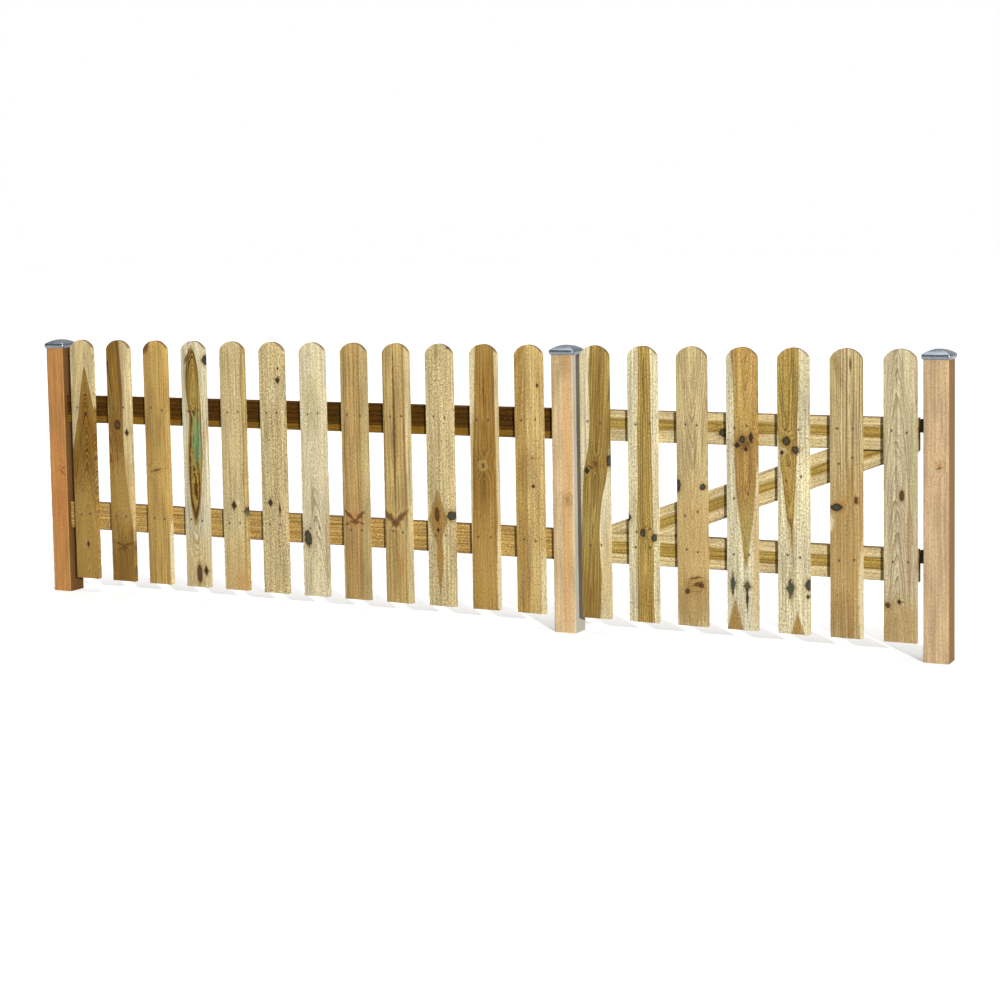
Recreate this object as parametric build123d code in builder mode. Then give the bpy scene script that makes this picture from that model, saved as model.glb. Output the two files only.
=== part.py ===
"""A picket garden gate of sawn softwood, hung between square posts at the end of a fence bay.

Millimetres. The origin is the middle of the middle post's foot, on the ground. +X runs along the
fence towards the gate, +Y points to the back, where the rails and hinges are, and +Z is up.
"""

import os
from math import asin, atan2, degrees, hypot, sin

from build123d import *

# Boards shared by the fence and the gate
PICKET_WIDTH = 90
PICKET_THICKNESS = 16
PICKET_HEIGHT = 800
PICKET_GAP = 60
HEAD_RADIUS = 50
HEAD_SHOULDER = 14
RAIL_HEIGHT = 90
RAIL_THICKNESS = 28
BOARD_EASE = 2

# Heights above the ground
GROUND_GAP = 50
LOWER_RAIL_RISE = 164
UPPER_RAIL_RISE = 522

# Posts and the run of the fence
POST_WIDTH = 70
POST_DROP = 14
POST_EASE = 4
FENCE_PICKETS = 12
FENCE_END_GAP = 30

# Gate leaf
GATE_PICKETS = 7
LATCH_GAP = 22
HINGE_GAP = 18
BRACE_WIDTH = 90
BRACE_SETBACK = 26
BRACE_TOP_GAP = 3

# Pressed metal caps on the posts
CAP_HEM = 4.5
CAP_RIM = 15
CAP_RISE = 13
CAP_TIP = 8
CAP_SHEET = 2
CAP_EDGE = 3
CAP_SIDE_CLEARANCE = 0.5
CAP_SEAT_CLEARANCE = 0.2

# Strap hinges: a flat strap with a rolled eye, on a pin that a plate carries
STRAP_LENGTH = 300
STRAP_HEIGHT = 25
STRAP_THICKNESS = 4
STRAP_RISE = 55
STRAP_TAIL_RADIUS = 10
PIN_DIAMETER = 10
PIN_CLEARANCE = 0.3
PIN_TIP = 5
PIN_CHAMFER = 1.5
EYE_SEAM = 1.5
EYE_PLATE_GAP = 2
EYE_LUG_GAP = 0.3
LUG_HEIGHT = 6
PLATE_THICKNESS = 4
PLATE_WIDTH = 25
PLATE_HEIGHT = 100
PLATE_CORNER = 5

# Derived places
PITCH = PICKET_WIDTH + PICKET_GAP
FRONT = -POST_WIDTH / 2
RAIL_FRONT = FRONT + PICKET_THICKNESS
RAIL_BACK = RAIL_FRONT + RAIL_THICKNESS
LOWER_RAIL = GROUND_GAP + LOWER_RAIL_RISE
UPPER_RAIL = GROUND_GAP + UPPER_RAIL_RISE
POST_HEIGHT = GROUND_GAP + PICKET_HEIGHT - POST_DROP


def run_of_pickets(count):
    """Width over the outer edges of a row of pickets."""
    return (count - 1) * PITCH + PICKET_WIDTH


FENCE_LENGTH = run_of_pickets(FENCE_PICKETS) + 2 * FENCE_END_GAP
FENCE_START = -POST_WIDTH / 2 - FENCE_LENGTH
GATE_WIDTH = run_of_pickets(GATE_PICKETS)
GATE_LEFT = POST_WIDTH / 2 + LATCH_GAP
GATE_RIGHT = GATE_LEFT + GATE_WIDTH
HINGE_FACE = GATE_RIGHT + HINGE_GAP

LEFT_POST_X = FENCE_START - POST_WIDTH / 2
HINGE_POST_X = HINGE_FACE + POST_WIDTH / 2

EYE_BORE = PIN_DIAMETER / 2 + PIN_CLEARANCE
EYE_RADIUS = EYE_BORE + STRAP_THICKNESS
PIN_X = HINGE_FACE - PLATE_THICKNESS - EYE_PLATE_GAP - EYE_RADIUS
PIN_Y = RAIL_BACK + EYE_RADIUS


def make_picket(left):
    """One upright board with an arched head, its left edge at x = left."""
    foot = Plane(origin=(left + PICKET_WIDTH / 2, FRONT, GROUND_GAP), x_dir=(1, 0, 0), z_dir=(0, -1, 0))
    half = PICKET_WIDTH / 2
    shoulder = PICKET_HEIGHT - HEAD_RADIUS + (HEAD_RADIUS**2 - half**2) ** 0.5
    with BuildPart() as picket:
        with BuildSketch(foot) as outline:
            with BuildLine():
                Polyline((-half, shoulder), (-half, 0), (half, 0), (half, shoulder))
                ThreePointArc((half, shoulder), (0, PICKET_HEIGHT), (-half, shoulder))
            make_face()
            fillet(outline.vertices().group_by(Axis.Y)[-1], radius=HEAD_SHOULDER)
        extrude(amount=-PICKET_THICKNESS)
        chamfer(picket.faces().sort_by(Axis.Y)[0].edges(), length=BOARD_EASE)
    return picket.part


def make_rail(left, length, foot):
    """A horizontal board behind the pickets, with its long edges eased."""
    with BuildPart() as rail:
        with BuildSketch(Plane.YZ.offset(left)):
            with Locations(((RAIL_FRONT + RAIL_BACK) / 2, foot + RAIL_HEIGHT / 2)):
                RectangleRounded(RAIL_THICKNESS, RAIL_HEIGHT, BOARD_EASE)
        extrude(amount=length)
    return rail.part


def make_brace():
    """The slanted board between the gate's rails, with both ends cut level."""
    low = LOWER_RAIL + RAIL_HEIGHT
    high = UPPER_RAIL - BRACE_TOP_GAP
    span = GATE_WIDTH - BRACE_SETBACK
    slope = atan2(high - low, span) + asin(BRACE_WIDTH / hypot(span, high - low))
    cut = BRACE_WIDTH / sin(slope)
    start = GATE_LEFT + BRACE_SETBACK
    with BuildPart() as brace:
        with BuildSketch(Plane.XZ.offset(-RAIL_FRONT)):
            with BuildLine():
                Polyline(
                    (start, low), (start + cut, low), (GATE_RIGHT, high), (GATE_RIGHT - cut, high), close=True
                )
            make_face()
        extrude(amount=-RAIL_THICKNESS)
        along = Vector(1, 0, 0).rotate(Axis.Y, -degrees(slope))
        fillet(brace.edges().filter_by(Axis((0, 0, 0), along)), radius=BOARD_EASE)
    return brace.part


def make_post(x):
    """A square post, planed with eased corners, from the ground to under its cap."""
    with BuildPart() as post:
        with BuildSketch(Plane.XY):
            with Locations((x, 0)):
                RectangleRounded(POST_WIDTH, POST_WIDTH, POST_EASE)
        extrude(amount=POST_HEIGHT)
    return post.part


def make_cap(x):
    """A pressed cap: an upright rim with a hemmed edge under a low hollow pyramid, all its bends soft."""
    socket = POST_WIDTH + 2 * CAP_SIDE_CLEARANCE
    width = socket + 2 * CAP_HEM
    slope = CAP_RISE / ((width - CAP_TIP) / 2)
    roof_angle = degrees(atan2(1, slope))
    seat = POST_HEIGHT + CAP_SEAT_CLEARANCE
    eave = seat + CAP_SHEET - CAP_HEM * slope
    rim_foot = eave - CAP_RIM
    with BuildPart() as cap:
        with BuildSketch(Plane.XY.offset(rim_foot)):
            with Locations((x, 0)):
                Rectangle(width, width)
        extrude(amount=CAP_RIM)
        with BuildSketch(Plane.XY.offset(eave)):
            with Locations((x, 0)):
                Rectangle(width, width)
        extrude(amount=CAP_RISE, taper=roof_angle)
        foot_edges = cap.faces().sort_by(Axis.Z)[0].edges()
        fillet(cap.edges() - foot_edges, radius=CAP_EDGE)
        with BuildSketch(Plane.XY.offset(rim_foot)):
            with Locations((x, 0)):
                Rectangle(socket, socket)
        extrude(amount=seat - rim_foot, mode=Mode.SUBTRACT)
        with BuildSketch(Plane.XY.offset(seat)):
            with Locations((x, 0)):
                Rectangle(socket, socket)
        extrude(amount=CAP_RISE - CAP_HEM * slope, taper=roof_angle, mode=Mode.SUBTRACT)
    return cap.part


def make_strap(eye_foot):
    """The gate's half of a hinge: a strap on the back of a rail, its end rolled into an eye."""
    with BuildPart() as strap:
        with BuildSketch(Plane.XY.offset(eye_foot)):
            with Locations((PIN_X, RAIL_BACK)):
                Rectangle(STRAP_LENGTH, STRAP_THICKNESS, align=(Align.MAX, Align.MIN))
            with Locations((PIN_X, PIN_Y)):
                Circle(EYE_RADIUS)
                Circle(EYE_BORE, mode=Mode.SUBTRACT)
            with Locations((PIN_X, RAIL_BACK + STRAP_THICKNESS)):
                Rectangle(EYE_RADIUS, EYE_SEAM, align=(Align.MAX, Align.MIN), mode=Mode.SUBTRACT)
        extrude(amount=STRAP_HEIGHT)
        tail = strap.edges().filter_by(Axis.Y).group_by(Axis.X)[0]
        fillet(tail, radius=STRAP_TAIL_RADIUS)
    return strap.part


def make_pintle(eye_foot):
    """The post's half of a hinge: a plate on the post's side with a lug and an upright pin."""
    lug_foot = eye_foot - EYE_LUG_GAP - LUG_HEIGHT
    plate_face = HINGE_FACE - PLATE_THICKNESS
    with BuildPart() as pintle:
        with BuildSketch(Plane.YZ.offset(plate_face)):
            with Locations((PIN_Y, lug_foot + LUG_HEIGHT)):
                RectangleRounded(PLATE_WIDTH, PLATE_HEIGHT, PLATE_CORNER)
        extrude(amount=PLATE_THICKNESS)
        with BuildSketch(Plane.XY.offset(lug_foot)):
            with Locations((PIN_X, PIN_Y)):
                Circle(EYE_RADIUS)
                Rectangle(plate_face - PIN_X, 2 * EYE_RADIUS, align=(Align.MIN, Align.CENTER))
        extrude(amount=LUG_HEIGHT)
        with BuildSketch(Plane.XY.offset(lug_foot + LUG_HEIGHT)):
            with Locations((PIN_X, PIN_Y)):
                Circle(PIN_DIAMETER / 2)
        extrude(amount=EYE_LUG_GAP + STRAP_HEIGHT + PIN_TIP)
        tip = pintle.edges().filter_by(GeomType.CIRCLE).sort_by(Axis.Z)[-1]
        chamfer(tip, length=PIN_CHAMFER)
    return pintle.part


os.makedirs("parts", exist_ok=True)


def save(piece, name):
    """Labels a finished piece and writes it under its own name."""
    piece.label = name
    export_step(piece, f"parts/{name}.step")


# The fence bay is nailed together into one panel before it goes between its posts.
fence_boards = [make_rail(FENCE_START, FENCE_LENGTH, foot) for foot in (LOWER_RAIL, UPPER_RAIL)]
for number in range(FENCE_PICKETS):
    fence_boards.append(make_picket(FENCE_START + FENCE_END_GAP + number * PITCH))
with BuildPart() as fence_panel:
    add(fence_boards)
save(fence_panel.part, "fence_panel")

for post_name, post_x in (("left_post", LEFT_POST_X), ("middle_post", 0), ("hinge_post", HINGE_POST_X)):
    save(make_post(post_x), post_name)
    save(make_cap(post_x), f"{post_name}_cap")

for number in range(GATE_PICKETS):
    save(make_picket(GATE_LEFT + number * PITCH), f"gate_picket_{number + 1}")
save(make_brace(), "gate_brace")
for level, rail_foot in (("lower", LOWER_RAIL), ("upper", UPPER_RAIL)):
    save(make_rail(GATE_LEFT, GATE_WIDTH, rail_foot), f"gate_{level}_rail")
    save(make_strap(rail_foot + STRAP_RISE), f"{level}_hinge_strap")
    save(make_pintle(rail_foot + STRAP_RISE), f"{level}_hinge_pintle")

print(f"hinge axis at x {PIN_X:.2f}, y {PIN_Y:.2f}")
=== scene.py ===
# %% [markdown]
# # A picket garden gate
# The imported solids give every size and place. This lesson dresses them: it lays a grain on each board,
# models the pickets, rails, caps and fixings with Blender's own tools, and sets up a camera and a soft
# studio. The frame is in metres: +X runs along the fence towards the gate, +Y to the back and +Z up.

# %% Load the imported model
import math
import random

import bpy
from mathutils import Matrix, Vector


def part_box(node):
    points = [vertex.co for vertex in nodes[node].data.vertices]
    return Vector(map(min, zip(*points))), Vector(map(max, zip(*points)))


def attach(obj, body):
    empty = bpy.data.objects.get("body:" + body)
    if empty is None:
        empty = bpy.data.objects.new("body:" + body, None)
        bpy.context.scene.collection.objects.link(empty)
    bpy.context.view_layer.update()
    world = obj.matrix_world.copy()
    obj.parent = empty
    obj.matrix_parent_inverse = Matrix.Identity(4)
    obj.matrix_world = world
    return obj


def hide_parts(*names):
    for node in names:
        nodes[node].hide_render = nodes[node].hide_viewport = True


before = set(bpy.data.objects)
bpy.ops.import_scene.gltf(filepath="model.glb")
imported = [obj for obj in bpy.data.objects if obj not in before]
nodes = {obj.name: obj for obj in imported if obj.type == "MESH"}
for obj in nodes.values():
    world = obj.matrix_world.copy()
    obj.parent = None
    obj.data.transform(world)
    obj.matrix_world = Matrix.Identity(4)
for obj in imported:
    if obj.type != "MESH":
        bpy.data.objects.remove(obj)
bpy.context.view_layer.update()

# %% [markdown]
# ## Camera
# The photograph was taken from the front, well to the right of the gate and a little above it, with a
# longish lens. Three turns place such a camera: how far it looks to the left, how far down, and a small
# tilt of the picture. They are written as angles, because those are easy to picture and to adjust. The
# picture was cut so that the lens's middle lies above its own middle, which a small shift repeats.

# %% Camera
CAMERA_PLACE = (2.3869, -5.1800, 1.1727)
LOOK_LEFT = math.radians(26.71)
LOOK_DOWN = math.radians(4.54)
TILT = math.radians(-0.99)
LENS_MM = 70.07
SHIFT_DOWN = -0.1103

camera_turn = (
    Matrix.Rotation(LOOK_LEFT, 3, "Z")
    @ Matrix.Rotation(math.pi / 2 - LOOK_DOWN, 3, "X")
    @ Matrix.Rotation(TILT, 3, "Z")
)
bpy.ops.object.camera_add(location=CAMERA_PLACE, rotation=camera_turn.to_euler())
camera = bpy.context.object
camera.name = "photo_camera"
camera.data.lens = LENS_MM
camera.data.sensor_width = 36
camera.data.shift_y = SHIFT_DOWN
camera.data.clip_end = 200
bpy.context.scene.camera = camera
print("camera looks along", [round(v, 3) for v in camera_turn @ Vector((0, 0, -1))])

# %% [markdown]
# ## Colours and nodes
# Colours are written as they look on a screen, in sRGB hex. Shaders count light, so one function turns
# each colour to linear values. A second small function adds a node, sets it and links its inputs, which
# keeps a long tree readable: an input is a plain value, or a node whose first live output is linked.


# %% Colour and node helpers
def linear(hex_colour):
    """An sRGB hex colour as linear red, green, blue and alpha."""
    channels = [int(hex_colour[i : i + 2], 16) / 255 for i in (1, 3, 5)]
    return [c / 12.92 if c <= 0.04045 else ((c + 0.055) / 1.055) ** 2.4 for c in channels] + [1.0]


def add_node(tree, kind, inputs, **settings):
    """Adds one shader node with its settings, and gives each named or numbered input a value or a link."""
    made = tree.nodes.new("ShaderNode" + kind)
    for setting, value in settings.items():
        setattr(made, setting, value)
    for socket, value in inputs.items():
        if isinstance(value, bpy.types.Node):
            value = next(output for output in value.outputs if output.enabled)
        if isinstance(value, bpy.types.NodeSocket):
            tree.links.new(value, made.inputs[socket])
        else:
            made.inputs[socket].default_value = value
    return made


def new_material(name):
    """An empty node material and its tree."""
    material = bpy.data.materials.new(name)
    material.use_nodes = True
    material.node_tree.nodes.clear()
    return material, material.node_tree


print("linear pale sapwood:", [round(v, 3) for v in linear("#d8cca4")])

# %% [markdown]
# ## Grain
# A sawn board is a slice of a tree, so its pattern is best made as one: growth rings are cones round a
# pith line, and the board's face cuts them into stripes, V shapes or arches. Where the ring distance is
# below the heart's radius the wood is brown heartwood, outside it is pale sapwood that took up a
# green-brown preservative. The tones come first, as a painter sets out a palette.

# %% Tones of pressure-treated pine and of the planed posts
TONES = {
    "white": "#d5cba8",
    "pale": "#d8cca4",
    "cream": "#c7b383",
    "grey": "#d2c5a0",
    "dun": "#c0b08d",
    "wheat": "#c0ab7b",
    "tan": "#c0a468",
    "fawn": "#b49e6b",
    "straw": "#b28f50",
    "honey": "#b69452",
    "brass": "#b3974f",
    "oak": "#a58940",
    "chestnut": "#9c7737",
    "loam": "#9f8442",
    "saddle": "#b9985f",
    "nut": "#8e6a2c",
    "walnut": "#8e6822",
    "toffee": "#7b5a1b",
    "umber": "#7d5b25",
    "treacle": "#482d04",
    "dark": "#53341a",
    "black": "#17130d",
    "green_black": "#2f382a",
    "moss": "#38483a",
    "ember": "#573a20",
    "olive": "#99965c",
    "copper": "#569a6c",
    "rust": "#b06a30",
    "clay": "#b27e47",
    "russet": "#9a6836",
    "peach": "#c7ac81",
    "apricot": "#d0985a",
    "pink": "#bca07a",
    "bark_brown": "#7d5f38",
    "silver": "#a6a395",
}
print("tones:", len(TONES))

# %% [markdown]
# ## Knots and stains
# Knots, torn grain and stains are marks at a place on a board. Each could be painted on a mask, but soft
# layers round a point need no picture and keep their size. A kind of mark has layers, each with its tone,
# how much it covers, where its edge lies as a share of the mark's size, and how soft that edge is. A push
# bends the rings by that many millimetres. A sharp mark is a diamond, as torn grain leaves. Ragged says
# how much the outline frays, and an even mark has a clean outline and bends the heart as well.

# %% Kinds of mark
FRAYED = 1.3
MARKS = {
    "knot": dict(
        layers=[("umber", 0.5, 1.5, 1.3), ("black", 0.88, 1.0, 0.35), ("ember", 0.8, 0.62, 0.5)],
        push=9,
        ragged=0.6,
    ),
    "black": dict(
        layers=[("umber", 0.4, 1.6, 1.2), ("black", 0.95, 1.05, 0.35)], push=5, sharp=True, ragged=0.8
    ),
    "green_knot": dict(
        layers=[("umber", 0.45, 1.5, 1.2), ("black", 0.93, 1.0, 0.3), ("moss", 0.7, 0.5, 0.5)],
        push=12,
        ragged=1.1,
    ),
    "eye": dict(
        layers=[
            ("umber", 0.45, 1.1, 0.3), ("tan", 0.45, 0.86, 0.25), ("umber", 0.5, 0.64, 0.25),
            ("tan", 0.4, 0.48, 0.2), ("dark", 0.9, 0.36, 0.25),
        ],
        push=12,
        ragged=0.9,
    ),
    "whorl": dict(
        layers=[
            ("umber", 0.28, 1.1, 0.35), ("peach", 0.4, 0.8, 0.3), ("umber", 0.4, 0.58, 0.3),
            ("rust", 0.6, 0.3, 0.3),
        ],
        push=12,
        ragged=1.0,
    ),
    "tear": dict(
        layers=[("umber", 0.4, 1.5, 1.0), ("green_black", 0.93, 1.0, 0.4), ("moss", 0.55, 0.45, 0.5)],
        push=8,
        sharp=True,
    ),
    "rosette": dict(layers=[("umber", 0.45, 1.1, 0.9), ("dark", 0.75, 0.5, 0.6)], push=6),
    "swirl": dict(layers=[("umber", 0.3, 0.9, 1.4)], push=16),
    "feather": dict(layers=[("dark", 0.85, 1.0, 0.9)], push=6, sharp=True),
    "flame": dict(layers=[("umber", 0.7, 1.12, 0.3), ("chestnut", 0.75, 0.9, 0.4)], sharp=True, even=True),
    "shade": dict(layers=[("umber", 0.42, 1.0, 0.9)]),
    "wash": dict(layers=[("honey", 0.5, 0.8, 0.9)]),
    "tint": dict(layers=[("umber", 0.24, 0.8, 1.2)]),
    "stain": dict(layers=[("copper", 0.5, 1.0, 1.0)], push=5, ragged=2.2),
    "green": dict(layers=[("olive", 0.4, 1.0, 1.4)]),
    "rust": dict(layers=[("rust", 0.3, 1.0, 1.2)]),
    "pale": dict(layers=[("pale", 0.7, 1.0, 0.6)]),
    "faded": dict(layers=[("pale", 0.4, 0.9, 1.2)]),
    "warm": dict(layers=[("apricot", 0.55, 0.9, 1.7)]),
    "bruise": dict(layers=[("dark", 0.5, 1.0, 1.0)]),
    "island": dict(layers=[], push=-30, even=True),
    "pinch": dict(layers=[], push=30, even=True),
}
print("kinds of mark:", len(MARKS))

# %% [markdown]
# ## Directions on a board
# A grain has to follow its board and not the room. A Mapping node moves the origin to the middle of the
# board's front, turns a lying board upright and counts in millimetres, so every number after it is a real
# size. Noises stretched along the board stand for what wanders, frays, streaks, clouds and flecks it.

# %% Board directions and noises
MM_PER_M = 1000
SEED_STEP = (3.7, 0, 1.3)
# Each noise's size across, into and along the board in millimetres, and its detail. Flecks are 2 to 3
# times their real width, so that they show at this distance.
WOOD_NOISES = {
    "wander": ((50, 50, 330), 3.0),
    "ragged": ((7, 7, 12), 2.0),
    "streaks": ((7, 7, 260), 3.0),
    "cloud": ((60, 60, 190), 2.0),
    "fleck": ((4, 4, 6.5), 1.5),
}


def board_directions(tree, place, centre, turn):
    """Millimetres from the middle of a board's front: across it, into it and along it."""
    inputs = {
        "Vector": place.outputs["Object"],
        "Location": -(Matrix.Rotation(turn, 3, "Y") @ Vector(centre)) * MM_PER_M,
        "Rotation": (0, turn, 0),
        "Scale": (MM_PER_M,) * 3,
    }
    return add_node(tree, "Mapping", inputs)


def wood_noises(tree, board, seed):
    """The noises of one board, moved by its seed so that no two boards are alike."""
    noises = {}
    for noise, (size, detail) in WOOD_NOISES.items():
        start = [seed * step for step in SEED_STEP]
        moved = add_node(
            tree, "Mapping", {"Vector": board, "Location": start, "Scale": [1 / mm for mm in size]}
        )
        noises[noise] = add_node(
            tree, "TexNoise", {"Vector": moved, "Scale": 1.0, "Detail": detail, "Roughness": 0.6}
        )
    return noises


print("noises of a board:", list(WOOD_NOISES))

# %% [markdown]
# ## Distance from the pith
# The pith is the middle of the tree, and may lie in the board, beside it or behind it. A ring texture
# could be used, but plain arithmetic also lets the pith lean and the tree narrow upwards, which is what
# draws the long V shapes on a flat-sawn face. A slow noise keeps the rings from being too true.

# %% Distance from the pith
RING_WANDER = 20.0


def pith_distance(tree, board, wander, pith, lean, taper):
    """Distance from a pith line that may lean, in rings that may narrow upwards and that wander."""
    across, depth, along = add_node(tree, "SeparateXYZ", {"Vector": board}).outputs
    sideways = add_node(tree, "Math", {0: along, 1: -lean, 2: across}, operation="MULTIPLY_ADD")
    sideways = add_node(tree, "Math", {0: sideways, 1: pith[0]}, operation="SUBTRACT")
    behind = add_node(tree, "Math", {0: depth, 1: pith[1]}, operation="SUBTRACT")
    to_pith = add_node(tree, "CombineXYZ", {"X": sideways, "Y": behind})
    radius = add_node(tree, "VectorMath", {0: to_pith}, operation="LENGTH").outputs["Value"]
    radius = add_node(tree, "Math", {0: along, 1: taper, 2: radius}, operation="MULTIPLY_ADD")
    bent = add_node(tree, "Math", {0: wander, 1: RING_WANDER, 2: -RING_WANDER / 2}, operation="MULTIPLY_ADD")
    return add_node(tree, "Math", {0: radius, 1: bent}, operation="ADD")


print("rings wander by", RING_WANDER / 2, "mm either way")

# %% [markdown]
# ## Marks on a board
# A knot is a branch that the trunk grew round, so the rings bend round it and bark may lie about its core.
# Every mark is an ellipse or a diamond, measured so that its distance is 1 at its edge. Adding to the ring
# distance near it bends the rings, and its layers are kept to be painted over the wood later.

# %% Marks on a board
EVEN_REACH = 1.3
PUSH_REACH = 3.2
PUSH_CORE = 0.2
THROUGH = 1e6


def mark_distance(tree, board, frayed, mark, u, v, half_width, half_height, slant=0):
    """Distance from a mark's middle, as a share of its size. It goes right through the board."""
    place = {
        "Vector": board,
        "Location": (u, 0, v),
        "Rotation": (0, math.radians(slant), 0),
        "Scale": (half_width, THROUGH, half_height),
    }
    spot = add_node(tree, "Mapping", place, vector_type="TEXTURE")
    if mark.get("sharp"):
        spot = add_node(tree, "VectorMath", {0: spot}, operation="ABSOLUTE")
        far = add_node(tree, "VectorMath", {0: spot, 1: (1, 0, 1)}, operation="DOT_PRODUCT")
    else:
        far = add_node(tree, "VectorMath", {0: spot}, operation="LENGTH")
    far = far.outputs["Value"]
    if mark.get("even"):
        return far
    ragged = mark.get("ragged", FRAYED)
    return add_node(tree, "Math", {0: frayed, 1: ragged, 2: far}, operation="MULTIPLY_ADD")


def draw_marks(tree, board, ragged, radius, marks):
    """Bends the heart and the rings round each mark, and lists the layers that are painted later."""
    frayed = add_node(tree, "Math", {0: ragged, 1: 0.5}, operation="SUBTRACT")
    ring_radius = radius
    painted = []
    for kind, *place in marks:
        mark = MARKS[kind]
        far = mark_distance(tree, board, frayed, mark, *place)
        if "push" in mark:
            reach = EVEN_REACH if mark.get("even") else PUSH_REACH
            lift = add_node(
                tree,
                "MapRange",
                {"Value": far, "From Min": reach, "From Max": PUSH_CORE, "To Max": float(mark["push"])},
                interpolation_type="SMOOTHERSTEP",
            )
            ring_radius = add_node(tree, "Math", {0: ring_radius, 1: lift}, operation="ADD")
            if mark.get("even"):
                radius = add_node(tree, "Math", {0: radius, 1: lift}, operation="ADD")
        for tone, cover, edge, soft in mark["layers"]:
            covered = add_node(
                tree,
                "MapRange",
                {"Value": far, "From Min": edge + soft / 2, "From Max": edge - soft / 2, "To Max": cover},
                interpolation_type="SMOOTHSTEP",
            )
            painted.append((covered, linear(TONES[tone])))
    return radius, ring_radius, painted


print("a knot bends the rings out to", PUSH_REACH, "times its size")

# %% [markdown]
# ## Latewood lines
# A tree grows pale wood in spring and a thin dark line in late summer, in years of uneven width. The ring
# distance is counted in rings, made uneven by a slow noise, and its fraction runs through a ramp that
# darkens towards the ring's end. A random number for each whole ring makes some lines darker than others.

# %% Latewood lines
UNEVEN_SPAN = 0.4
UNEVEN_RINGS = 2.4
EARLY_WOOD_ENDS = 0.25
LATE_WOOD_PEAK = 0.86
NEXT_SPRING = (0.1, 0.1, 0.1, 1)


def latewood_lines(tree, ring_radius, rings, contrast):
    """How dark the latewood is at each place, for rings that are some millimetres wide."""
    counted = add_node(tree, "Math", {0: ring_radius, 1: 1.0 / rings}, operation="MULTIPLY")
    slow = add_node(tree, "Math", {0: counted, 1: UNEVEN_SPAN}, operation="MULTIPLY")
    uneven = add_node(tree, "TexNoise", {"W": slow, "Scale": 1.0, "Detail": 1.0}, noise_dimensions="1D")
    turns = add_node(tree, "Math", {0: uneven, 1: UNEVEN_RINGS, 2: counted}, operation="MULTIPLY_ADD")
    late = add_node(tree, "ValToRGB", {"Fac": add_node(tree, "Math", {0: turns}, operation="FRACT")})
    late.color_ramp.elements[0].position = EARLY_WOOD_ENDS
    late.color_ramp.elements[1].position = LATE_WOOD_PEAK
    late.color_ramp.elements.new(1.0).color = NEXT_SPRING
    whole = add_node(tree, "Math", {0: turns}, operation="FLOOR")
    chance = add_node(tree, "TexWhiteNoise", {"W": whole}, noise_dimensions="1D").outputs["Value"]
    strength = add_node(
        tree, "MapRange", {"Value": chance, "To Min": contrast * 0.2, "To Max": contrast * 1.4}
    )
    return add_node(tree, "Math", {0: late, 1: strength}, operation="MULTIPLY")


print("latewood starts at", EARLY_WOOD_ENDS, "of a ring")

# %% [markdown]
# ## Heart and sap
# Preservative colours the pale sapwood and hardly enters the heart, so the two differ sharply, with a
# darker line where they meet. Rings show less on the sapwood. Mixing two tones by the ring distance gives
# all of that, and the latewood is multiplied in, as a stain would be.

# %% Heartwood and sapwood
HEART_EDGE = 1.5
RIM_INSIDE = 2.0
RIM_WIDTH = 5.0
SAPWOOD_LINES = 0.45


def heart_and_sap(tree, radius, lines, heart, sap, core, rim):
    """The wood's colour with its rings, and how strong its lines are."""
    in_heart = add_node(
        tree,
        "MapRange",
        {"Value": radius, "From Min": heart + HEART_EDGE, "From Max": heart - HEART_EDGE},
        interpolation_type="SMOOTHSTEP",
    )
    clear = add_node(tree, "MapRange", {"Value": in_heart, "To Min": SAPWOOD_LINES, "To Max": 1.0})
    lines = add_node(tree, "Math", {0: lines, 1: clear}, operation="MULTIPLY")
    umber = linear(TONES["umber"])
    colour = add_node(
        tree, "Mix", {0: in_heart, 6: linear(TONES[sap]), 7: linear(TONES[core])}, data_type="RGBA"
    )
    from_edge = add_node(tree, "Math", {0: radius, 1: heart - RIM_INSIDE}, operation="SUBTRACT")
    from_edge = add_node(tree, "Math", {0: from_edge}, operation="ABSOLUTE")
    meeting = add_node(
        tree, "MapRange", {"Value": from_edge, "From Min": RIM_WIDTH, "From Max": 0.0, "To Max": rim}
    )
    colour = add_node(tree, "Mix", {0: meeting, 6: colour, 7: umber}, data_type="RGBA")
    colour = add_node(tree, "Mix", {0: lines, 6: colour, 7: umber}, data_type="RGBA", blend_type="MULTIPLY")
    return colour, lines


print("heart fades into sap over", 2 * HEART_EDGE, "mm")

# %% [markdown]
# ## Weather and preservative
# A sawn board is never one tone: long streaks and broad clouds are lighter and darker, preservative pools
# in olive patches, and short resin flecks stand out. Multiplying by noises changes the tone without
# changing the hue, and mixing towards a tone changes both, so each is used where it fits. The marks are
# painted between the clouds and the flecks, so that flecks cross them too.

# %% Streaks, clouds, marks and flecks
NOISE_SPAN = {"From Min": 0.3, "From Max": 0.7}
CLOUD_TONES = (0.82, 1.15)


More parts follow.
